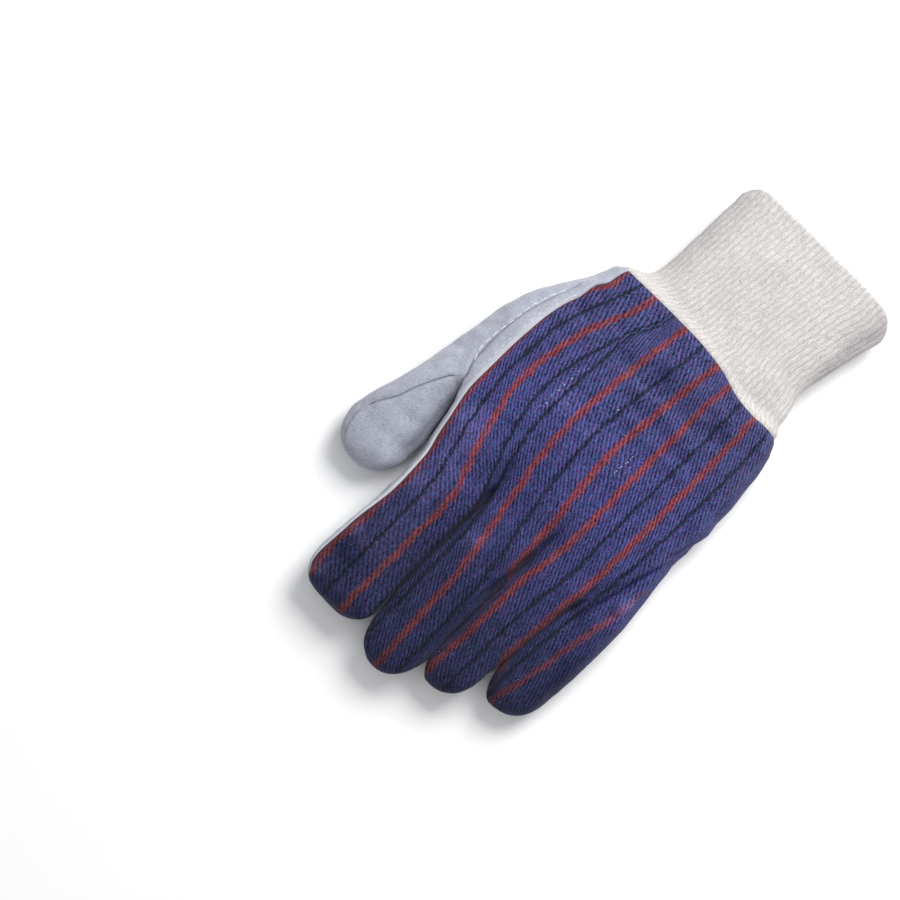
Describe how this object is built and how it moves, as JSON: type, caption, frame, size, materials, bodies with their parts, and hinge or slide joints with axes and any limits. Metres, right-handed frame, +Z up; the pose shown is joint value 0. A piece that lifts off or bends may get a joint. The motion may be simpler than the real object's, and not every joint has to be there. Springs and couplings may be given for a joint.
{
  "type": "leather palm work glove",
  "caption": "Left-hand work glove with a striped cotton back, split-leather palm, fingers and thumb, and a ribbed knit wrist, lying palm down.",
  "frame": {"origin": "middle of the glove's outline, on the surface it lies on", "axes": "+Y from the wrist to the fingertips, +X towards the thumb, +Z up out of the back of the hand"},
  "size_m": [0.1492, 0.2615, 0.0325],
  "materials": {
    "striped_cotton": "indigo cotton twill with red and dark green-black stripes, matt",
    "split_leather": "grey split leather with a short soft nap, matt",
    "rib_knit": "unbleached rib knit with fine dark flecks, matt"
  },
  "bodies": {
    "root": {"back_panel": "striped_cotton", "palm_panel": "split_leather", "thumb_outer": "split_leather", "thumb_inner": "split_leather", "knit_cuff": "rib_knit"}
  },
  "joints": []
}
